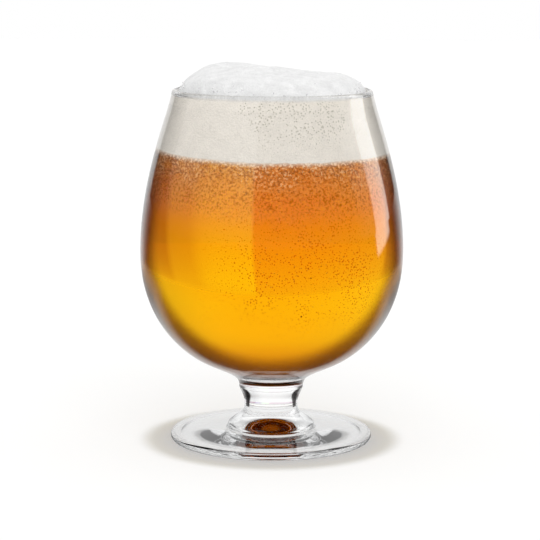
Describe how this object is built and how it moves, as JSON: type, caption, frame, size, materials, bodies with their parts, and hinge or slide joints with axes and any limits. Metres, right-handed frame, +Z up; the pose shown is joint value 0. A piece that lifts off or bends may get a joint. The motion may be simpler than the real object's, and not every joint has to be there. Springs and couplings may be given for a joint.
{
  "type": "beer glass",
  "caption": "Stemmed beer glass: an egg-shaped bowl with a thick base on a short waisted stem and a round foot, filled with beer under a domed head of foam.",
  "frame": {"origin": "centre of the flat ring under the foot, on the surface that the glass stands on", "axes": "+Z up along the axis of the glass, -Y towards the viewer of the picture, -X at the higher side of the foam"},
  "size_m": [0.097, 0.097, 0.1393],
  "materials": {
    "bowl_glass": "polished",
    "stem_glass": "polished",
    "foot_glass": "polished",
    "beer": "gloss",
    "foam": "matte"
  },
  "bodies": {
    "root": {"bowl": "bowl_glass", "stem": "stem_glass", "foot": "foot_glass", "beer": "beer", "foam_head": "foam"}
  },
  "joints": []
}
